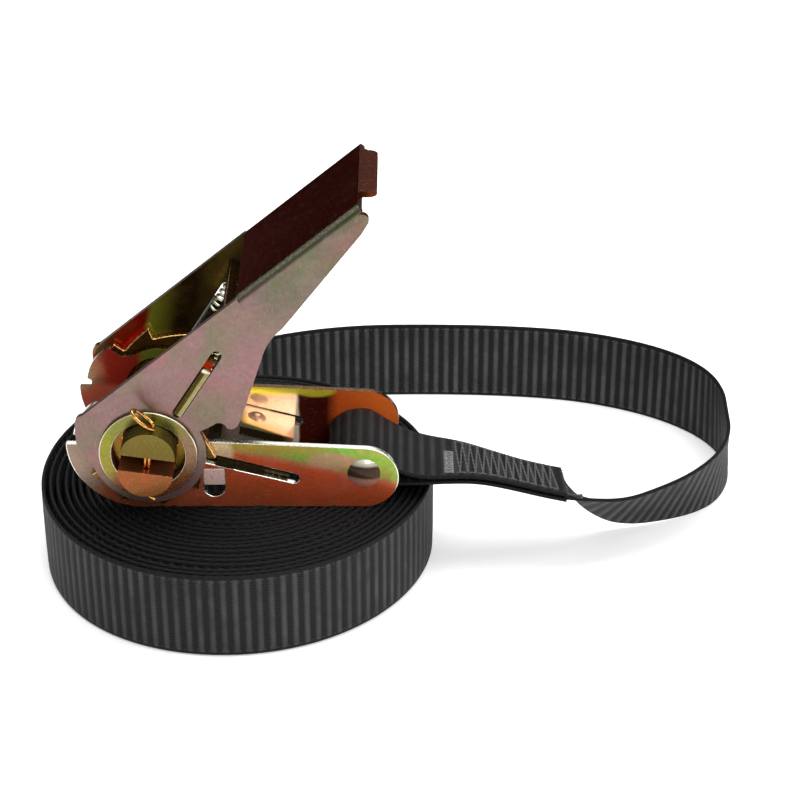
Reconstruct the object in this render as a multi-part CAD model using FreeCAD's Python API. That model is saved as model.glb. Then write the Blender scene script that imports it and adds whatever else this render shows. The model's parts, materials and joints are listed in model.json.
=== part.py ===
import FreeCAD, Part

import math
import os

from FreeCAD import Vector

# Ratchet tie-down: a hand ratchet standing on a flat coil of its own 25 mm webbing.
# Millimetres. X runs along the ratchet's frame, Y across the webbing, Z up.
# The origin is the centre of the coil's underside.
#
# Side shapes of the ratchet are drawn in its own plane as (x, z) pairs measured from the
# hub, which is the axis that the mandrel and the handle turn on.

# ---- driving dimensions ------------------------------------------------------------
WEBBING_WIDTH = 25.0
WEBBING_THICKNESS = 1.4
SEWN_THICKNESS = 3.1                   # two layers and their stitches
COIL_RADIUS = 53.5
COIL_HOLE_RADIUS = 15.0

HUB_X = -22.2
HUB_Y = -5.45
HUB_HEIGHT = 19.5                      # hub above the frame's lower edge

PLATE_THICKNESS = 1.7
FRAME_GAP = 28.4                       # clear width between the two frame plates
WHEEL_THICKNESS = 2.0
SIDE_CLEARANCE = 0.25                  # between a plate and the part beside it

MANDREL_RADIUS = 7.2                   # each half-round bar
MANDREL_SLOT = 4.7                     # webbing slot between the two halves
MANDREL_TILT = -8.7                    # degrees, the slot's slope at rest
MANDREL_OVERHANG = 6.4                 # each end, past the handle's ear
BORE_RADIUS = 9.62                     # mandrel holes in plates and ears

TOOTH_COUNT = 10
TOOTH_TIP_RADIUS = 17.8
TOOTH_BACK_RADIUS = 15.5               # middle of a tooth's curved back
TOOTH_ROOT_RADIUS = 14.35
TOOTH_TIP_ANGLE = 26.5                 # degrees, polar angle of one tooth tip
TOOTH_FACE_ANGLE = 2.2                 # degrees taken up by the steep face

HANDLE_ANGLE = 39.56                   # degrees, slope of the grip at rest
GRIP_HEIGHT = 19.6                     # outer face of the grip from the hub axis
GRIP_START = 48.0                      # along the handle, from the hub
GRIP_END = 88.3
GRIP_BEND_RADIUS = 2.0
LIP_WIDTH = 25.4
LIP_ROOT = 55.6                        # along X from the hub
LIP_TIP = 60.4
LIP_CORNER = 2.4
LIP_RISE = 0.8                         # top of the tongue above the end of the grip

DRIVE_ANGLE = 57.8                     # degrees, direction of the drive pawl's slot
DRIVE_OFFSET = 0.5                     # the drive pawl's mid plane from the hub axis
LOCK_ANGLE = -15.5                     # degrees, direction of the lock pawl's slot
PAWL_THICKNESS = 2.3
PAWL_SLOT_HALF = 1.45
CLEAR_BOTH_FACES = (-5.0, 5.0)         # offsets of a cut that passes through a pawl

PIN_CENTRE = (56.5, -8.9)              # fixed pin that carries the sewn webbing loop
PIN_RADIUS = 2.4
PIN_HEAD_RADIUS = 4.5
PIN_HEAD_HEIGHT = 1.5

# ---- derived dimensions ------------------------------------------------------------
HUB_Z = WEBBING_WIDTH + HUB_HEIGHT
FRAME_INNER = FRAME_GAP / 2
FRAME_OUTER = FRAME_INNER + PLATE_THICKNESS
WHEEL_INNER = FRAME_OUTER + SIDE_CLEARANCE
WHEEL_OUTER = WHEEL_INNER + WHEEL_THICKNESS
EAR_INNER = WHEEL_OUTER + SIDE_CLEARANCE
EAR_OUTER = EAR_INNER + PLATE_THICKNESS
MANDREL_END = EAR_OUTER + MANDREL_OVERHANG
SIDES = {"near": -1, "far": 1}


# ---- helpers -----------------------------------------------------------------------
def polar(radius, degrees):
    """Side-plane point at a radius and a polar angle from the hub."""
    a = math.radians(degrees)
    return (radius * math.cos(a), radius * math.sin(a))


def along(degrees, distance, offset=0.0):
    """Side-plane point a distance out in a direction, then offset to its right."""
    a = math.radians(degrees)
    return (distance * math.cos(a) + offset * math.sin(a),
            distance * math.sin(a) - offset * math.cos(a))


def grip_point(t, d):
    """Side-plane point t along the handle and d out from the hub axis."""
    return along(HANDLE_ANGLE, t, -d)


def place(point, y=0.0):
    """Model point for a side-plane point, y measured from the ratchet's mid plane."""
    return Vector(HUB_X + point[0], HUB_Y + y, HUB_Z + point[1])


def outline(start, steps):
    """Closed side-plane wire. A step is a point, or a pair of points for an arc."""
    edges = []
    here = start
    for step in steps + [start]:
        if isinstance(step[0], tuple):
            edges.append(Part.Arc(place(here), place(step[0]), place(step[1])).toShape())
            here = step[1]
        elif math.dist(here, step) > 1e-6:
            edges.append(Part.LineSegment(place(here), place(step)).toShape())
            here = step
    return Part.Wire(edges)


def slab(wire, y_low, y_high):
    """Solid between two Y values, measured from the ratchet's mid plane."""
    solid = Part.Face(wire).extrude(Vector(0, y_high - y_low, 0))
    solid.translate(Vector(0, y_low, 0))
    return solid


def on_side(side, wire, inner, outer):
    """Slab between two distances from the mid plane, on one side of it."""
    return slab(wire, min(side * inner, side * outer), max(side * inner, side * outer))


def rod(point, radius, y_low, y_high):
    """Cylinder across the ratchet."""
    return Part.makeCylinder(radius, y_high - y_low, place(point, y_low), Vector(0, 1, 0))


def plane_vector(point):
    """Direction in the side plane as a model vector."""
    return Vector(point[0], 0, point[1])


def pipe(start, axis, length, radius, wall):
    """Straight tube from a point along an axis."""
    tube = Part.makeCylinder(radius, length, start, axis)
    return tube.cut(Part.makeCylinder(radius - wall, length, start, axis))


def stadium(start, end, half_width):
    """Slot outline with round ends, its end centres at start and end."""
    dx, dz = end[0] - start[0], end[1] - start[1]
    length = math.hypot(dx, dz)
    ux, uz = dx / length, dz / length
    nx, nz = -uz * half_width, ux * half_width
    return outline(
        (start[0] - nx, start[1] - nz),
        [(end[0] - nx, end[1] - nz),
         ((end[0] + ux * half_width, end[1] + uz * half_width), (end[0] + nx, end[1] + nz)),
         (start[0] + nx, start[1] + nz),
         ((start[0] - ux * half_width, start[1] - uz * half_width),
          (start[0] - nx, start[1] - nz))])


def box_on(direction, low, high, offsets, across):
    """Block set along a side-plane direction, between two offsets, across |y| <= across."""
    corners = [along(direction, low, offsets[0]), along(direction, high, offsets[0]),
               along(direction, high, offsets[1]), along(direction, low, offsets[1])]
    return slab(outline(corners[0], corners[1:]), -across, across)


def section(centre, tilt, heading, width, thickness):
    """Rectangle across the webbing. tilt 0 is flat and 90 is on edge."""
    h, t = math.radians(heading), math.radians(tilt)
    outward = Vector(math.sin(h), -math.cos(h), 0)
    across = outward * math.cos(t) + Vector(0, 0, math.sin(t))
    normal = Vector(math.cos(h), math.sin(h), 0).cross(across)
    a, b = across * (width / 2), normal * (thickness / 2)
    c = Vector(*centre)
    return Part.makePolygon([c - a - b, c + a - b, c + a + b, c - a + b, c - a - b])


# ---- frame -------------------------------------------------------------------------
LOCK_SLOT = (13.6, 39.2)               # end centres, from the hub
CROSS_BAR_X = (13.65, 19.35)
CROSS_BAR_Z = (-12.6, -7.5)
BAR_SLOT_FLOOR = -13.3                 # centre height of the bar slot's round lower end
FRAME_CAM_RADIUS = 12.5


def frame_plate(side):
    """Side plate: long arm, round hub lobe, stop tooth, notch, and its slots."""
    cam_end = (math.sqrt(FRAME_CAM_RADIUS ** 2 - 1.2 ** 2), 1.2)
    wire = outline(
        (57.0, -1.1),
        [cam_end,
         (polar(FRAME_CAM_RADIUS, 65.0), polar(FRAME_CAM_RADIUS, 125.0)),
         (-10.4, 9.9),
         (-13.0, 12.5),
         (-14.4, 12.3),
         ((-18.1, 8.4), (-20.1, 3.2)),
         (-18.9, 2.4),
         (-19.1, 0.4),
         (-22.3, 0.4),
         ((-15.4, -14.9), (-4.0, -HUB_HEIGHT)),
         (57.0, -HUB_HEIGHT),
         ((65.8, -10.3), (57.0, -1.1))])
    plate = on_side(side, wire, FRAME_INNER, FRAME_OUTER)
    middle = sum(CROSS_BAR_X) / 2
    half = (CROSS_BAR_X[1] - CROSS_BAR_X[0]) / 2
    bar_slot = outline(
        (CROSS_BAR_X[0], CROSS_BAR_Z[1]),
        [(CROSS_BAR_X[0], BAR_SLOT_FLOOR),
         ((middle, BAR_SLOT_FLOOR - half), (CROSS_BAR_X[1], BAR_SLOT_FLOOR)),
         (CROSS_BAR_X[1], CROSS_BAR_Z[1])])
    pawl_slot = stadium(along(LOCK_ANGLE, LOCK_SLOT[0]), along(LOCK_ANGLE, LOCK_SLOT[1]),
                        PAWL_SLOT_HALF)
    cuts = [rod((0, 0), BORE_RADIUS, -WHEEL_OUTER, WHEEL_OUTER),
            rod(PIN_CENTRE, PIN_RADIUS, -WHEEL_OUTER, WHEEL_OUTER),
            slab(bar_slot, -WHEEL_OUTER, WHEEL_OUTER),
            slab(pawl_slot, -WHEEL_OUTER, WHEEL_OUTER)]
    return plate.cut(cuts).removeSplitter()


def cross_bar():
    """Flat bar that ties the two plates together below the lock pawl."""
    x, z = CROSS_BAR_X, CROSS_BAR_Z
    wire = outline((x[0], z[0]), [(x[1], z[0]), (x[1], z[1]), (x[0], z[1])])
    return slab(wire, -FRAME_OUTER, FRAME_OUTER)


def strap_pin():
    """Fixed pin with a domed head outside each plate."""
    pin = rod(PIN_CENTRE, PIN_RADIUS, -FRAME_OUTER, FRAME_OUTER)
    dome_radius = (PIN_HEAD_RADIUS ** 2 + PIN_HEAD_HEIGHT ** 2) / (2 * PIN_HEAD_HEIGHT)
    for side in SIDES.values():
        centre = place(PIN_CENTRE, side * (FRAME_OUTER + PIN_HEAD_HEIGHT - dome_radius))
        ball = Part.makeSphere(dome_radius, centre)
        reach = sorted((side * FRAME_OUTER, side * (FRAME_OUTER + PIN_HEAD_HEIGHT)))
        head = ball.common(rod(PIN_CENTRE, PIN_HEAD_RADIUS, *reach))
        pin = pin.fuse(head)
    return pin.removeSplitter()


# ---- lock pawl ---------------------------------------------------------------------
LOCK_NOSE = 18.1                       # nose rests just clear of the tooth tips
LOCK_EAR = (23.0, 31.0)                # ears that run in the plates' slots
LOCK_EAR_REACH = FRAME_OUTER + 0.15
LOCK_ARM_END = 38.0
LOCK_ARM_INNER = 2.2                   # the arms leave the middle open
LOCK_NOSE_REACH = 16.6                 # into the plane of the wheels
LOCK_HOOK = (36.5, 38.0)               # hook that each spring pushes, along the pawl
LOCK_HOOK_DEPTH = 6.6                  # below the pawl's mid plane
LOCK_HOOK_HALF_WIDTH = 2.0
LOCK_SPRING_Y = 8.0
LOCK_SPRING_RADIUS = 2.0
LOCK_SPRING_WIRE = 0.6
LOCK_SPRING_DROP = 4.6                 # spring axis below the pawl's mid plane
LOCK_SPRING_SPAN = (22.0, 36.4)        # from the cross bar to the hook
DIMPLE_RADIUS = 2.6
DIMPLE_HEIGHT = 1.0
DIMPLE_AT = (27.4, 9.2)                # along the pawl, and across


def lock_pawl():
    """Flat pawl: full-width nose bar, two ears, and two arms that hold the springs."""
    half = (-PAWL_THICKNESS / 2, PAWL_THICKNESS / 2)
    play = SIDE_CLEARANCE
    pawl = box_on(LOCK_ANGLE, LOCK_NOSE, LOCK_EAR[0], half, LOCK_NOSE_REACH)
    pawl = pawl.fuse(box_on(LOCK_ANGLE, *LOCK_EAR, half, LOCK_EAR_REACH))
    pawl = pawl.fuse(box_on(LOCK_ANGLE, LOCK_EAR[1], LOCK_ARM_END, half, FRAME_INNER - play))
    opening = box_on(LOCK_ANGLE, LOCK_EAR[0], LOCK_ARM_END + 1, CLEAR_BOTH_FACES,
                     LOCK_ARM_INNER)
    pawl = pawl.cut(opening)
    ball_radius = (DIMPLE_RADIUS ** 2 + DIMPLE_HEIGHT ** 2) / (2 * DIMPLE_HEIGHT)
    above = plane_vector(along(LOCK_ANGLE, 0, -1))
    for side in SIDES.values():
        top = place(along(LOCK_ANGLE, DIMPLE_AT[0], half[0]), side * DIMPLE_AT[1])
        ball = Part.makeSphere(ball_radius, top + above * (DIMPLE_HEIGHT - ball_radius))
        cap = ball.common(Part.makeCylinder(DIMPLE_RADIUS, DIMPLE_HEIGHT, top, above))
        hook = box_on(LOCK_ANGLE, *LOCK_HOOK, (half[1], LOCK_HOOK_DEPTH), LOCK_HOOK_HALF_WIDTH)
        hook.translate(Vector(0, side * LOCK_SPRING_Y, 0))
        pawl = pawl.fuse([cap, hook])
    return pawl.removeSplitter()


def lock_spring(side):
    """Return spring between the cross bar and the hook under one arm of the pawl."""
    start, end = LOCK_SPRING_SPAN
    axis = plane_vector(along(LOCK_ANGLE, 1))
    at = place(along(LOCK_ANGLE, start, LOCK_SPRING_DROP), side * LOCK_SPRING_Y)
    return pipe(at, axis, end - start, LOCK_SPRING_RADIUS, LOCK_SPRING_WIRE)


# ---- mandrel -----------------------------------------------------------------------
COTTER_RADIUS = 1.0
COTTER_FROM_END = 3.0
COTTER_PROUD = 0.9                     # shank past the crown of each half
COTTER_EYE_RADIUS = 1.75
COTTER_EYE_LEAN = -1.2                 # the eye is pressed over, along the slot
COTTER_WIRE_RADIUS = 0.85
COTTER_LEG_RADIUS = 0.75
COTTER_LEG_LENGTH = 4.2
COTTER_LEG_SLOPE = 0.55                # how far the bent legs still point down
WASHER_RADIUS = 13.0
WASHER_THICKNESS = 1.0
WASHER_GAP = 0.1                       # between a washer and its ear


def mandrel_half(sign):
    """Half-round bar, its flat towards the slot. sign +1 is the upper one."""
    up = 90 + MANDREL_TILT
    centre = along(up, sign * MANDREL_SLOT / 2)
    ends = [(centre[0] + k * MANDREL_RADIUS * math.cos(math.radians(MANDREL_TILT)),
             centre[1] + k * MANDREL_RADIUS * math.sin(math.radians(MANDREL_TILT)))
            for k in (1, -1)]
    crown = along(up, sign * (MANDREL_SLOT / 2 + MANDREL_RADIUS))
    bar = slab(outline(ends[0], [(crown, ends[1])]), -MANDREL_END, MANDREL_END)
    return bar.cut([cotter_hole(side) for side in SIDES.values()])


def cotter_place(side, height):
    """Point on a cotter pin's axis, at a height along it from the hub."""
    return place(along(90 + MANDREL_TILT, height), side * (MANDREL_END - COTTER_FROM_END))


def cotter_axis():
    return plane_vector(along(90 + MANDREL_TILT, 1.0))


def cotter_hole(side):
    reach = MANDREL_RADIUS + MANDREL_SLOT
    return Part.makeCylinder(COTTER_RADIUS, 2 * reach, cotter_place(side, -reach), cotter_axis())


def cotter_pin(side):
    """Split pin through both halves: shank, eye on top, two bent legs below."""
    top = MANDREL_SLOT / 2 + MANDREL_RADIUS + COTTER_PROUD
    shank = Part.makeCylinder(COTTER_RADIUS, 2 * top, cotter_place(side, -top), cotter_axis())
    eye = Part.makeTorus(COTTER_EYE_RADIUS, COTTER_WIRE_RADIUS,
                         cotter_place(side, top + COTTER_EYE_RADIUS)
                         + plane_vector(along(MANDREL_TILT, COTTER_EYE_LEAN)), Vector(0, 1, 0))
    pin = shank.fuse(eye)
    for k in (-1, 1):
        leg_axis = plane_vector(along(MANDREL_TILT, k)) - cotter_axis() * COTTER_LEG_SLOPE
        leg = Part.makeCylinder(COTTER_LEG_RADIUS, COTTER_LEG_LENGTH,
                                cotter_place(side, -top), leg_axis)
        pin = pin.fuse(leg)
    return pin.removeSplitter()


def ratchet_wheel(side):
    """Toothed wheel outside one frame plate, keyed on the two half-round bars."""
    pitch = 360.0 / TOOTH_COUNT
    start = polar(TOOTH_TIP_RADIUS, TOOTH_TIP_ANGLE)
    steps = []
    for n in range(TOOTH_COUNT):
        tip = TOOTH_TIP_ANGLE + n * pitch
        root = tip + pitch - TOOTH_FACE_ANGLE
        steps.append((polar(TOOTH_BACK_RADIUS, (tip + root) / 2), polar(TOOTH_ROOT_RADIUS, root)))
        steps.append(polar(TOOTH_TIP_RADIUS, tip + pitch))
    wheel = on_side(side, outline(start, steps), WHEEL_INNER, WHEEL_OUTER)
    return wheel.cut([mandrel_half(1), mandrel_half(-1)])


def retaining_washer(side):
    """Ring outside one ear of the handle, held on by the cotter pin."""
    inner = EAR_OUTER + WASHER_GAP
    reach = sorted((side * inner, side * (inner + WASHER_THICKNESS)))
    return rod((0, 0), WASHER_RADIUS, *reach).cut(rod((0, 0), BORE_RADIUS, *reach))


# ---- handle ------------------------------------------------------------------------
DRIVE_SLOT = (14.85, 34.75)            # end centres, from the hub
SEAT_AT = 42.0                         # spring seat, along the drive pawl's direction
SEAT_THICKNESS = 1.5
SEAT_HALF_HEIGHT = 3.4


def ear(side):
    """Side ear: round hub end with a stop lobe, narrowing to the tip of the grip."""
    under_grip = GRIP_HEIGHT - GRIP_BEND_RADIUS
    wire = outline(
        (13.7, 6.6),
        [(polar(15.2, -50.0), (-12.7, -8.4)),
         (-18.8, 3.0),
         (-18.8, 8.6),
         ((-18.4, 10.2), grip_point(-5.6, GRIP_HEIGHT - 0.2)),
         grip_point(GRIP_START, GRIP_HEIGHT - 0.2),
         grip_point(GRIP_START, under_grip),
         grip_point(86.4, under_grip),
         (grip_point(88.3, 16.6), grip_point(87.4, 14.4)),
         grip_point(84.2, 13.2),
         (36.2, 37.2),
         ((32.3, 32.6), (30.6, 28.3)),
         (24.6, 10.2),
         (23.8, 8.6),
         ((22.4, 7.4), (20.9, 7.6)),
         ((19.4, 9.2), (17.4, 8.6))])
    slot = stadium(along(DRIVE_ANGLE, DRIVE_SLOT[0], DRIVE_OFFSET),
                   along(DRIVE_ANGLE, DRIVE_SLOT[1], DRIVE_OFFSET), PAWL_SLOT_HALF)
    plate = on_side(side, wire, EAR_INNER, EAR_OUTER)
    return plate.cut([slab(slot, -MANDREL_END, MANDREL_END),
                      rod((0, 0), BORE_RADIUS, -MANDREL_END, MANDREL_END)])


def grip():
    """Folded grip that joins the two ears, bent down over each of them."""
    low, top = GRIP_HEIGHT - GRIP_BEND_RADIUS, GRIP_HEIGHT
    under = GRIP_HEIGHT - PLATE_THICKNESS
    inner_bend = GRIP_BEND_RADIUS - PLATE_THICKNESS
    diagonal = math.sqrt(0.5)

    def at(y, d):
        return place(grip_point(GRIP_START, d), y)

    def bend(side, radius):
        y = side * (EAR_OUTER - GRIP_BEND_RADIUS)
        ends = [at(y + side * radius, low), at(y, low + radius)]
        mid = at(y + side * radius * diagonal, low + radius * diagonal)
        return ends, Part.Arc(ends[0], mid, ends[1]).toShape()

    outer = {side: bend(side, GRIP_BEND_RADIUS) for side in (-1, 1)}
    inner = {side: bend(side, inner_bend) for side in (-1, 1)}
    edges = [outer[-1][1], outer[1][1], inner[-1][1], inner[1][1],
             Part.makeLine(outer[-1][0][1], outer[1][0][1]),
             Part.makeLine(inner[-1][0][1], inner[1][0][1]),
             Part.makeLine(outer[-1][0][0], inner[-1][0][0]),
             Part.makeLine(outer[1][0][0], inner[1][0][0])]
    face = Part.Face(Part.Wire(Part.__sortEdges__(edges)))
    reach = along(HANDLE_ANGLE, GRIP_END - GRIP_START)
    return face.extrude(Vector(reach[0], 0, reach[1]))


def lip():
    """Short level tongue at the tip of the grip, with round corners."""
    root, tip, corner = LIP_ROOT, LIP_TIP, LIP_CORNER
    diagonal = corner * math.sqrt(0.5)
    top = grip_point(GRIP_END, GRIP_HEIGHT)[1] + LIP_RISE
    w = LIP_WIDTH / 2

    def at(x, y):
        return place((x, top - PLATE_THICKNESS), y)

    edges = [Part.makeLine(at(root, -w), at(tip - corner, -w)),
             Part.makeLine(at(tip, -w + corner), at(tip, w - corner)),
             Part.makeLine(at(tip - corner, w), at(root, w)),
             Part.makeLine(at(root, w), at(root, -w))]
    for side in (-1, 1):
        centre_y = side * (w - corner)
        mid = at(tip - corner + diagonal, centre_y + side * diagonal)
        edges.append(Part.Arc(at(tip - corner, side * w), mid, at(tip, centre_y)).toShape())
    face = Part.Face(Part.Wire(Part.__sortEdges__(edges)))
    return face.extrude(Vector(0, 0, PLATE_THICKNESS))


def handle_shell():
    return ear(-1).fuse([ear(1), grip(), lip()]).removeSplitter()


def handle_spring_seat():
    """Plate across the handle that the drive springs push against."""
    return box_on(DRIVE_ANGLE, SEAT_AT, SEAT_AT + SEAT_THICKNESS,
                  (DRIVE_OFFSET - SEAT_HALF_HEIGHT, DRIVE_OFFSET + SEAT_HALF_HEIGHT), EAR_INNER)


# ---- drive pawl --------------------------------------------------------------------
DRIVE_NOSE = (18.3, 18.05)             # bevelled nose, just clear of the tooth tips
DRIVE_TAB = (14.3, 30.0)               # tabs that run in the ears' slots
DRIVE_TAB_ROOT = 18.1                  # where the tabs join the plate, clear of the teeth
DRIVE_TAB_REACH = EAR_OUTER + 0.5
DRIVE_SHOULDER = 31.0
DRIVE_SPRING_Y = 11.5
DRIVE_SPRING_RADIUS = 2.6
DRIVE_SPRING_WIRE = 0.8
PRONG_RADIUS = 1.4
PRONG_LENGTH = 3.0
FINGER_HALF_WIDTH = 6.5
FINGER_HEIGHT = 5.2
FINGER_REACH = 36.5


def drive_pawl():
    """Plate that slides in the handle: nose, side tabs, spring prongs, finger pull."""
    faces = (DRIVE_OFFSET + PAWL_THICKNESS / 2, DRIVE_OFFSET - PAWL_THICKNESS / 2)
    body = slab(outline(along(DRIVE_ANGLE, DRIVE_NOSE[0], faces[0]),
                        [along(DRIVE_ANGLE, DRIVE_SHOULDER, faces[0]),
                         along(DRIVE_ANGLE, DRIVE_SHOULDER, faces[1]),
                         along(DRIVE_ANGLE, DRIVE_NOSE[1], faces[1])]),
                -EAR_INNER + SIDE_CLEARANCE, EAR_INNER - SIDE_CLEARANCE)
    tab = box_on(DRIVE_ANGLE, *DRIVE_TAB, faces, DRIVE_TAB_REACH)
    tab = tab.cut(box_on(DRIVE_ANGLE, 0, DRIVE_TAB_ROOT, CLEAR_BOTH_FACES,
                         WHEEL_OUTER + SIDE_CLEARANCE / 2))
    stem = box_on(DRIVE_ANGLE, DRIVE_SHOULDER, FINGER_REACH, faces, FINGER_HALF_WIDTH)
    finger = box_on(DRIVE_ANGLE, FINGER_REACH - PAWL_THICKNESS, FINGER_REACH,
                    (faces[0], faces[0] + FINGER_HEIGHT), FINGER_HALF_WIDTH)
    out = plane_vector(along(DRIVE_ANGLE, 1))
    prongs = [Part.makeCylinder(PRONG_RADIUS, PRONG_LENGTH,
                                place(along(DRIVE_ANGLE, DRIVE_SHOULDER, DRIVE_OFFSET),
                                      side * DRIVE_SPRING_Y), out)
              for side in SIDES.values()]
    return body.fuse([tab, stem, finger] + prongs).removeSplitter()


def drive_spring(side):
    """Compression spring between the pawl's shoulder and the seat."""
    at = place(along(DRIVE_ANGLE, DRIVE_SHOULDER, DRIVE_OFFSET), side * DRIVE_SPRING_Y)
    return pipe(at, plane_vector(along(DRIVE_ANGLE, 1)), SEAT_AT - DRIVE_SHOULDER,
                DRIVE_SPRING_RADIUS, DRIVE_SPRING_WIRE)


# ---- webbing -----------------------------------------------------------------------
# Centre line of the standing run in plan, from the front of the free loop to the coil.
RETURN_ROUTE = [(139.5, 31.0), (140.0, 43.0), (136.0, 54.5), (127.0, 64.5), (114.0, 72.5),
                (97.0, 78.5), (76.0, 81.3), (52.0, 82.2), (30.0, 81.6), (10.0, 77.0),
                (-8.0, 68.6), (-23.0, 56.0), (-34.5, 43.2)]
# Centre line and tilt of the twisting run, from the sewn end to the standing run.
TWIST_STATIONS = [((89.1, -5.6, 21.4), 13, 0), ((95.0, -6.0, 16.4), 29, 8),
                  ((103.5, -3.0, 12.2), 42, 14), ((112.5, 0.2, 10.8), 50, 22),
                  ((121.5, 4.8, 11.0), 54, 31), ((129.5, 10.8, 11.6), 60, 43),
                  ((135.8, 19.2, 12.1), 74, 62), ((139.5, 31.0, 12.5), 90, 88)]
SEWN_STATIONS = [((48.8, -5.45, 30.3), 0), ((60.0, -5.45, 29.5), 4), ((66.0, -5.45, 28.3), 7),
                 ((72.0, -5.5, 26.6), 11), ((78.0, -5.55, 24.8), 12), ((84.0, -5.6, 23.2), 12),
                 ((89.0, -5.6, 22.1), 13)]
EDGE_GAP = 0.2                         # free webbing stays this far above the floor


def strap_coil():
    """Webbing wound flat: one ring of the coil's outer shape."""
    ring = Part.makeCylinder(COIL_RADIUS, WEBBING_WIDTH)
    return ring.cut(Part.makeCylinder(COIL_HOLE_RADIUS, WEBBING_WIDTH))


def strap_pin_loop():
    """Webbing loop round the fixed pin, closed where the sewn part begins."""
    wire = outline(
        (71.0, -12.6),
        [(61.2, -7.0),
         ((54.2, -4.9), (46.9, -8.4)),
         ((46.0, -13.2), (51.5, -15.8)),
         (71.0, -15.8)])
    inside = Part.Face(wire).makeOffset2D(-WEBBING_THICKNESS)
    hollow = inside.extrude(Vector(0, WEBBING_WIDTH, 0))
    hollow.translate(Vector(0, -WEBBING_WIDTH / 2, 0))
    return slab(wire, -WEBBING_WIDTH / 2, WEBBING_WIDTH / 2).cut(hollow)


def strap_sewn_end():
    """Doubled webbing, sewn together, tilting a little towards its cut end."""
    wires = [section(centre, tilt, 0, WEBBING_WIDTH, SEWN_THICKNESS)
             for centre, tilt in SEWN_STATIONS]
    return Part.makeLoft(wires, True, True)


def strap_twist():
    """Single layer, turning from nearly flat to standing on edge."""
    wires = [section(centre, tilt, heading, WEBBING_WIDTH - 2 * EDGE_GAP, WEBBING_THICKNESS)
             for centre, tilt, heading in TWIST_STATIONS]
    return Part.makeLoft(wires, True, True)


def rounded_route(points):
    """Straight runs and the tangent arc at each inner point: (start, mid, end, centre)."""
    corners = []
    for before, corner, after in zip(points, points[1:], points[2:]):
        a, b, c = (Vector(*p, 0) for p in (before, corner, after))
        turn = (b - a).getAngle(c - b)
        cut = 0.45 * min((b - a).Length, (c - b).Length)
        radius = cut / math.tan(turn / 2)
        start, end = b + (a - b).normalize() * cut, b + (c - b).normalize() * cut
        inward = ((start + end) / 2 - b).normalize()
        centre = b + inward * math.hypot(radius, cut)
        corners.append((start, centre - inward * radius, end, centre))
    return corners


def strap_return():
    """Webbing on edge: round the loop's end, along the back, and on to the coil."""
    corners = rounded_route(RETURN_ROUTE)
    half = WEBBING_THICKNESS / 2
    ends = [Vector(*RETURN_ROUTE[0], 0), Vector(*RETURN_ROUTE[-1], 0)]

    def shifted(side):
        edges = []
        first = corners[0][0]
        normal = (first - ends[0]).normalize().cross(Vector(0, 0, 1)) * (side * half)
        here = ends[0] + normal
        for start, mid, end, centre in corners:
            outer = [p + (p - centre).normalize() * half * (1 if outward(centre, p, side) else -1)
                     for p in (start, mid, end)]
            edges.append(Part.makeLine(here, outer[0]))
            edges.append(Part.Arc(*outer).toShape())
            here = outer[2]
        last = (ends[1] - corners[-1][2]).normalize().cross(Vector(0, 0, 1)) * (side * half)
        edges.append(Part.makeLine(here, ends[1] + last))
        return edges

    def outward(centre, point, side):
        """Is this side of the webbing the one away from the bend's centre?"""
        index = next(k for k, c in enumerate(corners) if c[3] is centre)
        start, _, end, _ = corners[index]
        right = (end - start).cross(Vector(0, 0, 1))
        return (right.dot(point - centre) > 0) == (side > 0)

    left, right = shifted(-1), shifted(1)
    caps = [Part.makeLine(left[0].Vertexes[0].Point, right[0].Vertexes[0].Point),
            Part.makeLine(left[-1].Vertexes[-1].Point, right[-1].Vertexes[-1].Point)]
    face = Part.Face(Part.Wire(Part.__sortEdges__(left + right + caps)))
    ribbon = face.extrude(Vector(0, 0, WEBBING_WIDTH - 2 * EDGE_GAP))
    ribbon.translate(Vector(0, 0, EDGE_GAP))
    return ribbon


# ---- the part ----------------------------------------------------------------------
def build():
    nodes = {
        "cross_bar": cross_bar(),
        "strap_pin": strap_pin(),
        "lock_pawl": lock_pawl(),
        "mandrel_half_upper": mandrel_half(1),
        "mandrel_half_lower": mandrel_half(-1),
        "handle_shell": handle_shell(),
        "handle_spring_seat": handle_spring_seat(),
        "drive_pawl": drive_pawl(),
        "strap_coil": strap_coil(),
        "strap_pin_loop": strap_pin_loop(),
        "strap_sewn_end": strap_sewn_end(),
        "strap_twist": strap_twist(),
        "strap_return": strap_return(),
    }
    makers = {"frame_plate": frame_plate, "lock_spring": lock_spring,
              "ratchet_wheel": ratchet_wheel, "retaining_washer": retaining_washer,
              "cotter_pin": cotter_pin, "drive_spring": drive_spring}
    for name, maker in makers.items():
        for side_name, side in SIDES.items():
            nodes[name + "_" + side_name] = maker(side)
    return nodes


os.makedirs("parts", exist_ok=True)
for node, shape in build().items():
    print(node, shape.isValid(), len(shape.Solids), round(shape.Volume, 1))
    shape.exportStep("parts/" + node + ".step")
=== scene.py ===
import json
import math

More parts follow.
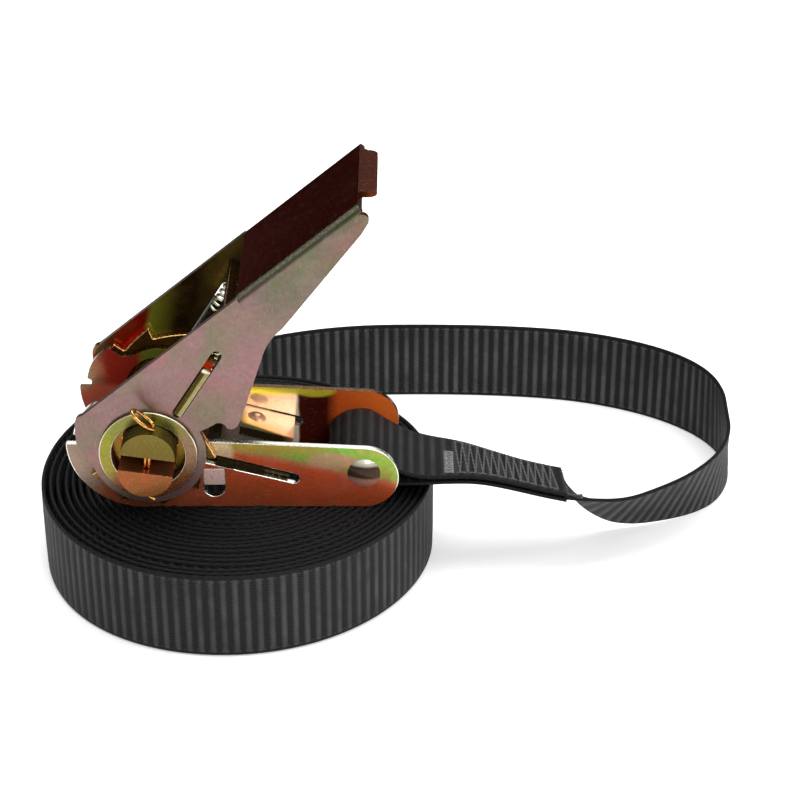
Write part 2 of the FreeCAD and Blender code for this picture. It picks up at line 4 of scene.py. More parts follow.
import bmesh
import bpy
import numpy as np
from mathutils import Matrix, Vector

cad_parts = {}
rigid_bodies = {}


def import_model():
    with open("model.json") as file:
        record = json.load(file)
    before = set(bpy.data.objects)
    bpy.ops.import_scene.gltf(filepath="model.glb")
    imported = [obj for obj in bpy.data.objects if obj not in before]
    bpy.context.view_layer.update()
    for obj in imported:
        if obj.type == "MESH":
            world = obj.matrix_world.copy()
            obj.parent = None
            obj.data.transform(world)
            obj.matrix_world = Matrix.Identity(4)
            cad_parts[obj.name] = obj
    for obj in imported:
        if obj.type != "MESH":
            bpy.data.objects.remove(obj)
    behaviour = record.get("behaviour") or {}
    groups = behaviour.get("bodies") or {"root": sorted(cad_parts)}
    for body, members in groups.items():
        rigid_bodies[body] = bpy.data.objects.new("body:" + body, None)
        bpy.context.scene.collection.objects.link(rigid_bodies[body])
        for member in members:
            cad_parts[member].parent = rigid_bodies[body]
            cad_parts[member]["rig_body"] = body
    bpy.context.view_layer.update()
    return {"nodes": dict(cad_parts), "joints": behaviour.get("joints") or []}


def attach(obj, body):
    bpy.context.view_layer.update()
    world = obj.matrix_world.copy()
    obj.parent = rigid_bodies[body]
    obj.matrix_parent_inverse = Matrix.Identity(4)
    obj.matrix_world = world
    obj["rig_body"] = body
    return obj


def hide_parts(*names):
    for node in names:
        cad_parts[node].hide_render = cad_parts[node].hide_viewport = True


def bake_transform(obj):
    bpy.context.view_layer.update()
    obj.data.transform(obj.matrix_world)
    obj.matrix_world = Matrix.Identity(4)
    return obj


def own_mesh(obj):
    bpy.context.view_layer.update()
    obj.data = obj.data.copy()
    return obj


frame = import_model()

# Ratchet tie-down: a plated hand ratchet, open, standing on the flat coil of its own black
# webbing. Metres, in the part's frame: X along the ratchet, Y across it, Z up.

MM = 0.001
JOINTS = {joint["name"]: joint for joint in frame["joints"]}
HUB = np.array(JOINTS["handle_hinge"]["pos_m"])
DRIVE = np.array(JOINTS["drive_pawl_slide"]["axis"])
LOCK = np.array(JOINTS["lock_pawl_slide"]["axis"])
ACROSS = np.array([0.0, 1.0, 0.0])
UP = np.array([0.0, 0.0, 1.0])
SIDES = {"near": -1, "far": 1}

# ---- webbing, close to what the part's source has ----------------------------------
WEBBING_WIDTH = 25.0 * MM
WEBBING_THICKNESS = 1.25 * MM
RIB_PITCH = 3.1 * MM
RIB_HEIGHT = 0.18 * MM
SELVEDGE = 1.3 * MM
RINGS_PER_RIB = 5
LAYER_OFFSET = 0.78 * MM               # each sewn layer from the middle of the pair
COIL_PITCH = 1.9 * MM
COIL_OUTER = 53.7 * MM
COIL_INNER = 15.9 * MM
COIL_SHIFT = (-0.6, -1.8)              # the outer turns lie a little off the coil's centre
YARN_PITCH = 0.62 * MM
SEAM_PITCH = 1.6 * MM                  # the dashes of the seam beside each selvedge
SEAM_HALF_WIDTH = 0.22 * MM

# Middle of the strap that comes back to the coil on edge, then its tilts and headings.
RETURN_ROUTE = [(139.5, 31.0), (140.0, 43.0), (136.0, 54.5), (127.0, 64.5), (114.0, 72.5),
                (97.0, 78.5), (76.0, 81.3), (52.0, 82.2), (30.0, 81.6), (10.0, 77.0),
                (-8.0, 68.6), (-23.0, 56.0), (-34.5, 43.2)]
RETURN_HEIGHT = 12.5
RETURN_TILTS = [95, 95, 92] + 10 * [90]
RETURN_HEADINGS = [88, 98, 122, 142, 154, 164, 174, 180, 184, 200, 213, 224, 230]
# (point, tilt, heading) of the strap that turns over on its way out, and (point, tilt) of
# the sewn end's middle. Points are in millimetres and angles in degrees.
TWIST_STATIONS = [((89.1, -5.6, 21.4), 17, 0), ((93.4, -5.9, 17.6), 31, 7),
                  ((103.5, -3.0, 12.0), 45, 14), ((112.5, 0.0, 11.2), 55, 22),
                  ((122.0, 4.2, 11.6), 62, 31), ((130.8, 10.4, 12.2), 72, 43),
                  ((136.9, 19.2, 12.5), 84, 62)]
SEWN_STATIONS = [((48.8, -5.45, 30.3), 2), ((60.0, -5.45, 29.5), 8), ((66.0, -5.45, 28.3), 12),
                 ((72.0, -5.5, 26.6), 14), ((78.0, -5.55, 24.8), 15), ((84.0, -5.6, 23.2), 15),
                 ((89.0, -5.6, 22.1), 15)]
# Middle of the loop round the strap pin: along the ratchet, and up.
PIN_LOOP = [(40.5, 35.0), (36.6, 38.2), (32.1, 39.1), (27.6, 37.4), (24.5, 33.8), (25.4, 30.6),
            (29.6, 29.3), (38.0, 29.5)]


# ---- shader helpers ----------------------------------------------------------------
def colour(red, green, blue):
    """Linear colour from display values of 0 to 255."""
    def linear(value):
        v = value / 255
        return v / 12.92 if v <= 0.04045 else ((v + 0.055) / 1.055) ** 2.4
    return (linear(red), linear(green), linear(blue), 1.0)


class Shader:
    """A material's node tree, with short calls for the nodes that this scene uses."""

    def __init__(self, name):
        self.material = bpy.data.materials.new(name)
        self.material.use_nodes = True
        self.tree = self.material.node_tree
        self.surface = self.tree.nodes["Principled BSDF"]

    def add(self, kind, inputs=(), **settings):
        made = self.tree.nodes.new("ShaderNode" + kind)
        for key, value in settings.items():
            setattr(made, key, value)
        for key, value in dict(inputs).items():
            self.feed(made.inputs[key], value)
        return made

    def feed(self, socket, value):
        if isinstance(value, bpy.types.NodeSocket):
            self.tree.links.new(value, socket)
        else:
            socket.default_value = value

    def set(self, **inputs):
        for key, value in inputs.items():
            self.feed(self.surface.inputs[key.replace("_", " ")], value)

    def math(self, operation, *values, clamp=False):
        made = self.add("Math", dict(enumerate(values)), operation=operation, use_clamp=clamp)
        return made.outputs[0]

    def position(self):
        return self.add("TexCoord").outputs["Object"]

    def stretched(self, vector, scale):
        return self.add("Mapping", {"Vector": vector, "Scale": scale}).outputs[0]

    def noise(self, vector, scale, detail, roughness, distortion=0.0):
        made = self.add("TexNoise", {"Vector": vector, "Scale": scale, "Detail": detail,
                                     "Roughness": roughness, "Distortion": distortion})
        return made.outputs[0]

    def span(self, value, low, high, to_low=0.0, to_high=1.0):
        made = self.add("MapRange", {"Value": value, "From Min": low, "From Max": high,
                                     "To Min": to_low, "To Max": to_high})
        return made.outputs[0]

    def ramp(self, value, stops):
        made = self.add("ValToRGB", {"Fac": value})
        elements = made.color_ramp.elements
        while len(elements) < len(stops):
            elements.new(1.0)
        for element, (at, tint) in zip(elements, stops):
            element.position = at
            element.color = tint
        return made.outputs[0]

    def mix(self, share, a, b):
        return self.add("MixRGB", {"Fac": share, "Color1": a, "Color2": b}).outputs[0]

    def bump(self, height, distance, strength, normal=None):
        inputs = {"Height": height, "Distance": distance, "Strength": strength}
        if normal:
            inputs["Normal"] = normal
        return self.add("Bump", inputs).outputs[0]


# ---- materials ---------------------------------------------------------------------
BLOTCH_SIZE = 14 * MM
STAIN_SIZE = 1.1 * MM
SCRATCH_SIZE = 0.35 * MM
ROLLING_SIZE = 5 * MM
SCRATCH_TINT = (235, 228, 214)
STAIN_TINT = (60, 34, 24)


def plating(name, stops, direction, span, roughness, blotch=0.25, tints=(), patches=(),
            metallic=0.9, grain=(1.0, 1.0, 1.0)):
    """Chromated zinc plate: its hue drifts along a direction and in soft blotches. In several
    materials below the drift and the placed patches also carry painted light and shade.

    tints are scattered (tint, size, amount); patches are placed (tint, centre, size, amount)."""
    s = Shader(name)
    here = s.position()
    soft = s.noise(here, 1 / BLOTCH_SIZE, 2.0, 0.45, 0.6)
    fine = s.noise(here, 1 / STAIN_SIZE, 4.0, 0.6)
    drift = s.add("VectorMath", {0: here, 1: direction}, operation="DOT_PRODUCT").outputs["Value"]
    drift = s.span(drift, *span)
    drift = s.math("ADD", drift, s.math("MULTIPLY", s.math("SUBTRACT", soft, 0.5), blotch * 2))
    tone = s.ramp(drift, stops)
    for number, (tint, size, amount) in enumerate(tints):
        shifted = s.add("Mapping", {"Vector": here, "Location": (0.31 + number, 0.17, 0.05)})
        patch = s.noise(shifted.outputs[0], 1 / size, 2.0, 0.4, 0.8)
        tone = s.mix(s.span(patch, 0.47, 0.66, 0.0, amount), tone, tint)
    for tint, centre, size, amount in patches:
        away = s.add("VectorMath", {0: here, 1: [MM * c for c in centre]}, operation="SUBTRACT")
        away = s.add("VectorMath", {0: away.outputs[0], 1: [MM * c for c in size]},
                     operation="DIVIDE")
        away = s.add("VectorMath", {0: away.outputs[0]}, operation="LENGTH").outputs["Value"]
        away = s.math("ADD", away, s.math("MULTIPLY", s.math("SUBTRACT", soft, 0.5), 0.5))
        tone = s.mix(s.span(away, 0.75, 1.15, amount, 0.0), tone, tint)
    scratches = s.noise(s.stretched(here, grain), 1 / SCRATCH_SIZE, 3.0, 0.7)
    marks = s.span(scratches, 0.60, 0.72, 0.0, 0.35)
    tone = s.mix(marks, tone, s.mix(0.55, tone, colour(*SCRATCH_TINT)))
    tone = s.mix(s.span(fine, 0.35, 0.7, 0.0, 0.16), tone, colour(*STAIN_TINT))
    s.set(Base_Color=tone, Metallic=metallic, Specular_Tint=tone)
    worn = s.math("MULTIPLY", s.math("SUBTRACT", fine, 0.5), 0.22)
    s.set(Roughness=s.math("ADD", s.math("ADD", worn, roughness), s.math("MULTIPLY", marks, 0.3)))
    rolled = s.noise(here, 1 / ROLLING_SIZE, 2.0, 0.5)
    s.set(Normal=s.bump(scratches, 0.012 * MM, 0.5, s.bump(rolled, 0.06 * MM, 0.6)))
    return s.material


def bright_edge(name, tint, bright=(0.8, 0.75, 0.62, 1.0)):
    """Edges mottled between two tints: pale rubbed edges, and the painted highlights and painted
    shade given to some rims below.
    """
    s = Shader(name)
    here = s.position()
    fine = s.noise(here, 1 / (0.8 * MM), 3.0, 0.6)
    s.set(Base_Color=s.ramp(fine, [(0.3, tint), (0.75, bright)]), Metallic=1.0)
    s.set(Roughness=s.span(fine, 0.2, 0.8, 0.16, 0.34))
    return s.material


def drawn_wire(name, tint, dark):
    """Bright wire, streaked with a darker tint."""
    s = Shader(name)
    here = s.position()
    fine = s.noise(here, 1 / (0.9 * MM), 3.0, 0.6)
    s.set(Base_Color=s.ramp(fine, [(0.3, dark), (0.7, tint)]), Metallic=1.0)
    s.set(Roughness=s.span(fine, 0.2, 0.8, 0.14, 0.34))
    s.set(Normal=s.bump(fine, 0.01 * MM, 0.4))
    return s.material


def woven(name, light, dark, rib_contrast=1.0):
    """Black polyester webbing: cross ribs, warp yarns along it, and plain selvedges."""
    s = Shader(name)
    uv = s.add("UVMap", uv_map="strap").outputs[0]
    parts = s.add("SeparateXYZ", {"Vector": uv})
    along, across = parts.outputs[0], parts.outputs[1]
    here = s.position()
    rib = s.math("COSINE", s.math("MULTIPLY", along, 2 * math.pi / RIB_PITCH))
    row = s.math("FLOOR", s.math("DIVIDE", along, RIB_PITCH / 2))
    shift = s.math("MULTIPLY", row, YARN_PITCH / 2)
    yarn = s.math("COSINE", s.math("MULTIPLY", s.math("ADD", across, shift),
                                   2 * math.pi / YARN_PITCH))
    pick = s.math("COSINE", s.math("MULTIPLY", along, 4 * math.pi / RIB_PITCH))
    edge = s.math("ABSOLUTE", across)
    inside = s.span(edge, WEBBING_WIDTH / 2 - SELVEDGE, WEBBING_WIDTH / 2 - SELVEDGE * 0.6,
                    1.0, 0.0)
    fuzz = s.noise(here, 1 / (0.35 * MM), 3.0, 0.7)
    wear = s.noise(here, 1 / (9 * MM), 2.0, 0.6)
    # Rib crowns take the light tint and the grooves the dark one: painted sheen on the crowns and
    # painted shade in the grooves.
    crown = s.math("MULTIPLY", s.span(rib, -0.5, 1.0, 0.0, rib_contrast), inside)
    crown = s.math("MULTIPLY", crown, s.span(wear, 0.3, 0.7, 0.45, 1.0))
    crown = s.math("ADD", crown, s.math("MULTIPLY", s.span(yarn, -1.0, 1.0, -0.18, 0.18), inside))
    seam = s.math("COMPARE", edge, WEBBING_WIDTH / 2 - SELVEDGE * 1.15, SEAM_HALF_WIDTH)
    dashes = s.span(s.math("COSINE", s.math("MULTIPLY", along, 2 * math.pi / SEAM_PITCH)),
                    -0.2, 0.6, 0.0, 0.35)
    crown = s.math("ADD", crown, s.math("MULTIPLY", seam, dashes))
    crown = s.math("ADD", crown, s.span(fuzz, 0.3, 0.75, -0.12, 0.2), clamp=True)
    s.set(Base_Color=s.mix(crown, dark, light))
    s.set(Roughness=s.span(fuzz, 0.3, 0.7, 0.52, 0.74))
    s.set(Specular_IOR_Level=0.14)
    weave = s.math("ADD", s.math("MULTIPLY", yarn, 0.6), s.math("MULTIPLY", pick, 0.4))
    weave = s.math("ADD", weave, s.math("MULTIPLY", fuzz, 0.8))
    s.set(Normal=s.bump(weave, 0.09 * MM, 0.8))
    return s.material


def thread(name, light, dark):
    """Spun thread, mottled between two tints."""
    s = Shader(name)
    here = s.position()
    lay = s.noise(here, 1 / (0.4 * MM), 3.0, 0.7)
    s.set(Base_Color=s.ramp(lay, [(0.35, dark), (0.7, light)]))
    s.set(Roughness=s.span(lay, 0, 1, 0.4, 0.7))
    s.set(Sheen_Weight=0.15, Normal=s.bump(lay, 0.05 * MM, 0.7))
    return s.material


PALE_EDGE = bright_edge("rubbed_edge", colour(196, 186, 160))
# Painted highlight: near-white silver for the near plate's rims.
SILVER_HIGHLIGHT_EDGE = bright_edge("silver_highlight_edge", colour(226, 222, 206), colour(250, 250, 244))
# Painted shade: dark rims for the far plate, the far ear, the spring seat and the drive pawl.
PAINTED_SHADE_EDGE = bright_edge("shaded_edge", colour(60, 42, 24), colour(120, 90, 56))
# Painted highlight: bright gold on the ratchet wheels' rims.
GOLD_HIGHLIGHT_EDGE = bright_edge("gold_highlight_edge", colour(206, 140, 64), colour(250, 220, 160))

# Each plating is a list of hues along one direction, and softer patches over it.
PLATE_OUTER = plating(
    "plate_outer",
    [(0.0, colour(128, 62, 38)), (0.22, colour(166, 78, 46)), (0.50, colour(190, 80, 42)),
     (0.655, colour(200, 82, 46)), (0.69, colour(196, 112, 82)), (0.73, colour(140, 160, 68)),
     (1.0, colour(112, 190, 68))],
    (0.23, 0.0, 0.97), (17 * MM, 52 * MM), blotch=0.03,
    tints=[(colour(206, 106, 84), 9 * MM, 0.3), (colour(140, 84, 50), 5 * MM, 0.3)],
    patches=[(colour(170, 138, 62), (7, -21, 44.5), (18, 4, 2.8), 0.75),
             (colour(206, 140, 130), (26, -21, 39.5), (7, 4, 2.6), 0.6),
             (colour(158, 90, 54), (-26, -21, 32), (14, 4, 7), 0.7),
             (colour(146, 124, 108), (-44, -21, 38), (10, 4, 11), 1.0),
             (colour(210, 190, 150), (-4, -21, 42.0), (3.6, 4, 4), 0.8)],
    metallic=0.45, roughness=0.28, grain=(0.15, 1.0, 1.0))
# Inner faces of the side plates: their own chromate hues along the plate, with painted reflection
# in the brightest stops and patches.
PLATE_INNER = plating(
    "plate_inner",
    [(0.0, colour(150, 126, 92)), (0.045, colour(140, 92, 66)), (0.08, colour(150, 44, 30)),
     (0.17, colour(140, 38, 26)), (0.20, colour(96, 110, 34)), (0.27, colour(100, 108, 30)),
     (0.33, colour(190, 112, 82)), (0.5, colour(250, 190, 150)), (0.62, colour(255, 220, 184)),
     (0.704, colour(255, 238, 214)), (0.708, colour(76, 22, 14)), (0.80, colour(70, 20, 10)),
     (0.84, colour(222, 96, 38)), (1.0, colour(250, 120, 46))],
    (1.0, 0.0, 0.0), (-43 * MM, 40 * MM), blotch=0.01,
    patches=[(colour(190, 88, 66), (-38, 8.75, 39.5), (10, 3, 6), 0.9),
             (colour(255, 252, 90), (8.5, 8.75, 44.4), (11.5, 3, 2.3), 1.0),
             (colour(226, 214, 60), (20.5, 8.75, 43.6), (5.5, 3, 1.9), 0.9)],
    metallic=0.3, roughness=0.1, grain=(0.15, 1.0, 1.0))
EAR_OUTER = plating(
    "ear_outer",
    [(0.0, colour(126, 102, 98)), (0.45, colour(138, 106, 106)), (0.75, colour(110, 98, 90)),
     (1.0, colour(92, 94, 72))],
    (0.6, 0.0, 0.8), (20 * MM, 110 * MM), blotch=0.3,
    tints=[(colour(150, 98, 102), 17 * MM, 0.5), (colour(92, 110, 66), 18 * MM, 0.45),
           (colour(136, 118, 106), 6 * MM, 0.3)],
    metallic=0.8, roughness=0.33, grain=(1.0, 1.0, 0.12))
EAR_INNER = plating(
    "ear_inner",
    [(0.0, colour(160, 120, 84)), (0.06, colour(160, 60, 40)), (0.12, colour(176, 30, 14)),
     (0.30, colour(150, 22, 12)), (0.34, colour(150, 158, 50)), (0.42, colour(128, 128, 42)),
     (0.55, colour(50, 36, 14)), (0.66, colour(44, 30, 12)), (0.80, colour(104, 84, 34)),
     (1.0, colour(96, 78, 34))],
    (0.98, 0.0, -0.19), (-48 * MM, -14 * MM), blotch=0.03,
    tints=[(colour(120, 96, 40), 5 * MM, 0.25), (colour(40, 24, 10), 8 * MM, 0.3)],
    metallic=0.7, roughness=0.2)
GRIP_WEB = plating(
    "grip_web",
    [(0.0, colour(84, 20, 9)), (0.5, colour(70, 15, 7)), (1.0, colour(76, 18, 8))],
    (1.0, 0.0, 0.0), (0, 40 * MM), blotch=0.3, tints=[(colour(84, 44, 18), 12 * MM, 0.3)],
    metallic=0.75, roughness=0.12, grain=(0.2, 1.0, 0.2))
# Painted highlight: a pale strip along the near fold of the grip.
GRIP_BEND_HIGHLIGHT = bright_edge("grip_bend_highlight", colour(150, 152, 116), colour(204, 204, 172))
GRIP_LIP = plating(
    "grip_lip",
    [(0.0, colour(72, 32, 4)), (1.0, colour(82, 36, 5))],
    (1.0, 0.0, 0.0), (32 * MM, 39 * MM), metallic=0.75, roughness=0.3)
WHEEL = plating(
    "wheel",
    [(0.0, colour(120, 84, 26)), (0.5, colour(104, 96, 34)), (1.0, colour(100, 100, 34))],
    (0.5, 0.0, 0.8), (20 * MM, 64 * MM), blotch=0.4,
    tints=[(colour(130, 60, 34), 6 * MM, 0.4)], roughness=0.2)
WASHER = plating(
    "washer",
    [(0.0, colour(136, 78, 44)), (0.30, colour(138, 88, 54)), (0.50, colour(126, 110, 66)),
     (0.8, colour(118, 118, 58)), (1.0, colour(126, 124, 60))],
    (-0.35, 0.0, 0.94), (36 * MM, 64 * MM), blotch=0.10,
    patches=[(colour(138, 136, 46), (-34.5, -26, 45), (4, 4, 10), 0.6),
             (colour(128, 104, 84), (-10, -26, 45), (3.5, 4, 9), 0.7)],
    tints=[(colour(140, 100, 70), 7 * MM, 0.3)], metallic=0.8, roughness=0.26)
MANDREL = plating(
    "mandrel",
    [(0.0, colour(138, 78, 44)), (0.36, colour(142, 80, 46)), (0.44, colour(84, 58, 20)),
     (0.6, colour(100, 84, 38)), (1.0, colour(108, 96, 46))],
    (0.15, 0.0, 0.98), (31 * MM, 51 * MM), blotch=0.06,
    tints=[(colour(96, 86, 32), 5 * MM, 0.4)], metallic=0.75, roughness=0.24)
# Lock pawl: painted shade over its near half and its middle, and painted reflection in the pink of
# its far half. A small darker patch is painted shade, and the pale spot in it is a painted
# highlight.
PAWL = plating(
    "lock_pawl",
    [(0.0, colour(40, 34, 18)), (0.45, colour(52, 44, 24)), (0.55, colour(244, 172, 136)),
     (1.0, colour(255, 218, 184))],
    (0.18, 1.0, 0.0), (-6.5 * MM, 5.5 * MM), blotch=0.02,
    patches=[(colour(60, 46, 26), (-4.5, 0, 40), (6, 18, 8), 1.0),
             (colour(140, 76, 60), (4.25, 3.75, 37.2), (2.7, 2.5, 3), 0.9),
             (colour(236, 210, 200), (4.6, 3.4, 38.5), (0.8, 0.7, 2), 0.7)],
    metallic=0.4, roughness=0.2)
# Drive pawl: its two faces painted dark and light for shade and light. A large dark patch over its
# body is painted shade, and the orange-red and pale spots on the tab are painted highlights.
DRIVE_PAWL = plating(
    "drive_pawl",
    [(0.0, colour(54, 46, 14)), (0.45, colour(66, 56, 20)), (0.55, colour(140, 130, 84)),
     (1.0, colour(150, 140, 96))],
    (0.846, 0.0, -0.533), (-43.2 * MM, -40.7 * MM), blotch=0.04,
    patches=[(colour(40, 26, 12), (-6, -5.45, 66), (22, 17.5, 22), 1.0),
             (colour(200, 70, 24), (-4.6, -23.4, 70.2), (4, 1.6, 4), 1.0),
             (colour(206, 200, 176), (-5.6, -26.0, 69.6), (1.5, 0.7, 0.8), 1.0)],
    metallic=0.7, roughness=0.22)
SEAT = plating(
    "spring_seat",
    [(0.0, colour(90, 54, 20)), (1.0, colour(76, 58, 24))],
    (0.0, 1.0, 0.0), (-24 * MM, 14 * MM), blotch=0.3, metallic=0.9, roughness=0.25)
# Cross bar: pale at its near end, and dark over the rest of its length, which is painted shade
# between the plates.
CROSS_BAR = plating(
    "cross_bar",
    [(0.0, colour(236, 206, 198)), (0.45, colour(226, 190, 182)), (0.55, colour(46, 38, 22)),
     (1.0, colour(40, 32, 18))],
    (0.0, 1.0, 0.0), (-25 * MM, -14 * MM), blotch=0.01, metallic=0.4, roughness=0.3)
# Strap pin's head: painted reflection along its height, pinkish below, then a dark band, then a
# bright rim at the top.
RIVET = plating(
    "rivet",
    [(0.0, colour(196, 104, 76)), (0.40, colour(204, 138, 120)), (0.50, colour(184, 132, 112)),
     (0.57, colour(66, 50, 40)), (0.83, colour(58, 44, 36)), (0.89, colour(214, 208, 184)),
     (1.0, colour(226, 222, 206))],
    (0.08, 0.0, 1.0), (31.5 * MM, 42.5 * MM), blotch=0.05, metallic=0.45, roughness=0.18)
COTTER = drawn_wire("cotter_wire", colour(226, 178, 96), colour(176, 104, 52))
SPRING = drawn_wire("spring_wire", colour(236, 240, 224), colour(164, 166, 120))
WEBBING = woven("webbing", colour(76, 76, 77), colour(1, 1, 1))
WEBBING_COIL = woven("webbing_coil", colour(70, 70, 71), colour(13, 13, 13), 0.9)
WEBBING_SEWN = woven("webbing_sewn", colour(54, 54, 55), colour(9, 9, 9), 0.8)
THREAD = thread("stitch_thread", colour(84, 84, 84), colour(5, 5, 5))
TACK_THREAD = thread("bartack_thread", colour(150, 150, 148), colour(24, 24, 24))
CUT_YARN = thread("cut_yarn", colour(44, 44, 44), colour(5, 5, 5))


# ---- mesh helpers ------------------------------------------------------------------
WELD_GAP = 0.002 * MM
FLAT_ANGLE = math.radians(0.5)         # faces that meet at less than this become one
ROLLED_ANGLE = math.radians(35)        # edges sharper than this are rolled
ROUTE_STEPS = 24                       # points of a smooth route between two stations


def along(degrees, distance, offset):
    """Point a distance out from the hub in a side-plane direction, offset to its right."""
    a = math.radians(degrees)
    return HUB + MM * np.array([distance * math.cos(a) + offset * math.sin(a), 0,
                                distance * math.sin(a) - offset * math.cos(a)])


def piece(name, mesh, materials, body):
    """New object from a mesh, riding on a body unless that is None."""
    made = bpy.data.objects.new(name, mesh)
    bpy.context.scene.collection.objects.link(made)
    for material in materials:
        mesh.materials.append(material)
    if body:
        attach(made, body)
    return made


def mesh_from(name, vertices, faces):
    """New smooth-shaded mesh."""
    mesh = bpy.data.meshes.new(name)
    mesh.from_pydata([tuple(v) for v in vertices], [], faces)
    mesh.polygons.foreach_set("use_smooth", [True] * len(mesh.polygons))
    mesh.update()
    return mesh


def finished(node, faces, edge, width):
    """The CAD node with rolled edges: bevelled, smooth-shaded, its faces given materials.

    faces is a list of (material, test); the first test that a face passes decides. edge and
    width are the rolled edges' material and width."""
    source = frame["nodes"][node]
    mesh = bpy.data.meshes.new(node + "_mesh")
    work = bmesh.new()
    work.from_mesh(source.data)
    bmesh.ops.remove_doubles(work, verts=work.verts, dist=WELD_GAP)
    bmesh.ops.dissolve_limit(work, angle_limit=FLAT_ANGLE, verts=work.verts, edges=work.edges)
    for face in work.faces:
        face.smooth = True
        centre, normal = np.array(face.calc_center_median()), np.array(face.normal)
        face.material_index = next(k for k, (_, test) in enumerate(faces) if test(centre, normal))
    work.to_mesh(mesh)
    work.free()
    made = piece(node + "_plated", mesh, [m for m, _ in faces] + [edge], source["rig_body"])
    bevel = made.modifiers.new("rolled_edge", "BEVEL")
    bevel.width = width
    bevel.segments = 2
    bevel.limit_method = "ANGLE"
    bevel.angle_limit = ROLLED_ANGLE
    bevel.material = len(faces)
    bevel.miter_outer = "MITER_ARC"
    made.modifiers.new("even_shading", "WEIGHTED_NORMAL").keep_sharp = True
    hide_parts(node)


def everywhere(centre, normal):
    """Test that every face passes."""
    return True


def sweep(points, radius, sides):
    """Vertices and faces of a round bar along points. Each point may have its own radius."""
    points = np.asarray(points, float)
    radii = np.broadcast_to(radius, len(points))
    tangents = np.gradient(points, axis=0)
    tangents /= np.linalg.norm(tangents, axis=1)[:, None]
    side = np.cross(tangents[0], UP if abs(tangents[0][2]) < 0.9 else ACROSS)
    vertices, faces = [], []
    for k, (point, tangent) in enumerate(zip(points, tangents)):
        side = side - tangent * side.dot(tangent)
        side /= np.linalg.norm(side)
        other = np.cross(tangent, side)
        for n in range(sides):
            a = 2 * math.pi * n / sides
            vertices.append(point + radii[k] * (math.cos(a) * side + math.sin(a) * other))
    for k in range(len(points) - 1):
        for n in range(sides):
            m = (n + 1) % sides
            faces.append((k * sides + n, k * sides + m, (k + 1) * sides + m, (k + 1) * sides + n))
    faces.append(tuple(reversed(range(sides))))
    faces.append(tuple(range((len(points) - 1) * sides, len(points) * sides)))
    return vertices, faces


def joined(parts):
    """Several (vertices, faces) as one."""
    vertices, faces = [], []
    for part_vertices, part_faces in parts:
        base = len(vertices)
        vertices += list(part_vertices)
        faces += [tuple(base + i for i in face) for face in part_faces]
    return vertices, faces


def smooth_route(points):
    """Points along the NURBS spline whose control points these are, in metres."""
    curve = bpy.data.curves.new("route", "CURVE")
    curve.dimensions = "3D"
    curve.resolution_u = ROUTE_STEPS
    spline = curve.splines.new("NURBS")
    spline.points.add(len(points) - 1)
    for target, point in zip(spline.points, points):
        target.co = (*point, 1.0)
    spline.order_u = 3
    spline.use_endpoint_u = True
    holder = bpy.data.objects.new("route", curve)
    bpy.context.scene.collection.objects.link(holder)
    mesh = bpy.data.meshes.new_from_object(holder)
    line = np.array([v.co for v in mesh.vertices], float)
    bpy.data.objects.remove(holder)
    bpy.data.meshes.remove(mesh)
    bpy.data.curves.remove(curve)
    return line


def lengths(line):
    """Distance along a line at each of its points."""
    return np.concatenate([[0.0], np.cumsum(np.linalg.norm(np.diff(line, axis=0), axis=1))])


def resampled(line, other, step):
    """Two lines read at even steps along the first one."""
    at = lengths(line)
    even = np.linspace(0, at[-1], max(2, int(round(at[-1] / step)) + 1))
    read = [np.stack([np.interp(even, at, l[:, k]) for k in range(3)], axis=1)
            for l in (line, other)]
    return read[0], read[1], even


def section_profile():
    """The webbing's section from selvedge to selvedge: places across, shares of thickness."""
    half = WEBBING_WIDTH / 2
    edge = WEBBING_THICKNESS / 2
    stations = [-half + edge * 0.25, -half + edge, -half + SELVEDGE, -half * 0.5, 0.0, half * 0.5,
                half - SELVEDGE, half - edge, half - edge * 0.25]
    shares = [0.55, 0.95, 1.0, 1.0, 1.0, 1.0, 1.0, 0.95, 0.55]
    return stations, shares


def ribbon_mesh(name, centre, across, along_start=0.0, ribs=1.0):
    """Webbing along a line, and its middle: both faces ribbed, selvedges plain and rounded.

    along_start is how far along the strap it begins, and ribs the share of a full rib."""
    step = RIB_PITCH / RINGS_PER_RIB
    centre, edge_line, at = resampled(centre, centre + across, step)
    across = edge_line - centre
    across /= np.linalg.norm(across, axis=1)[:, None]
    tangent = np.gradient(centre, axis=0)
    tangent /= np.linalg.norm(tangent, axis=1)[:, None]
    normal = np.cross(tangent, across)
    normal /= np.linalg.norm(normal, axis=1)[:, None]
    stations, shares = section_profile()
    half = WEBBING_THICKNESS / 2 - RIB_HEIGHT / 2
    rib = np.cos(2 * math.pi * (at + along_start) / RIB_PITCH) * RIB_HEIGHT / 2 * ribs
    around = []
    for face in (1, -1):
        order = range(len(stations)) if face > 0 else reversed(range(len(stations)))
        for k in order:
            ribbed = 0.0 if abs(stations[k]) > WEBBING_WIDTH / 2 - SELVEDGE * 1.01 else 1.0
            around.append((stations[k], face, shares[k], ribbed))
    rings = np.stack([centre + across * station
                      + normal * (face * share * (half + rib * ribbed))[:, None]
                      for station, face, share, ribbed in around], axis=1)
    count = len(around)
    vertices = rings.reshape(-1, 3)
    faces = []
    for k in range(len(at) - 1):
        for n in range(count):
            m = (n + 1) % count
            faces.append((k * count + n, (k + 1) * count + n, (k + 1) * count + m, k * count + m))
    faces.append(tuple(range(count)))
    faces.append(tuple(reversed(range((len(at) - 1) * count, len(at) * count))))
    mesh = mesh_from(name, vertices, faces)
    uv = mesh.uv_layers.new(name="strap")
    loops = np.zeros(len(mesh.loops), np.int32)
    mesh.loops.foreach_get("vertex_index", loops)
    place = np.stack([np.repeat(at + along_start, count),
                      np.tile([a[0] for a in around], len(at))], axis=1)
    uv.data.foreach_set("uv", place[loops].astype(np.float32).ravel())
    return mesh, centre


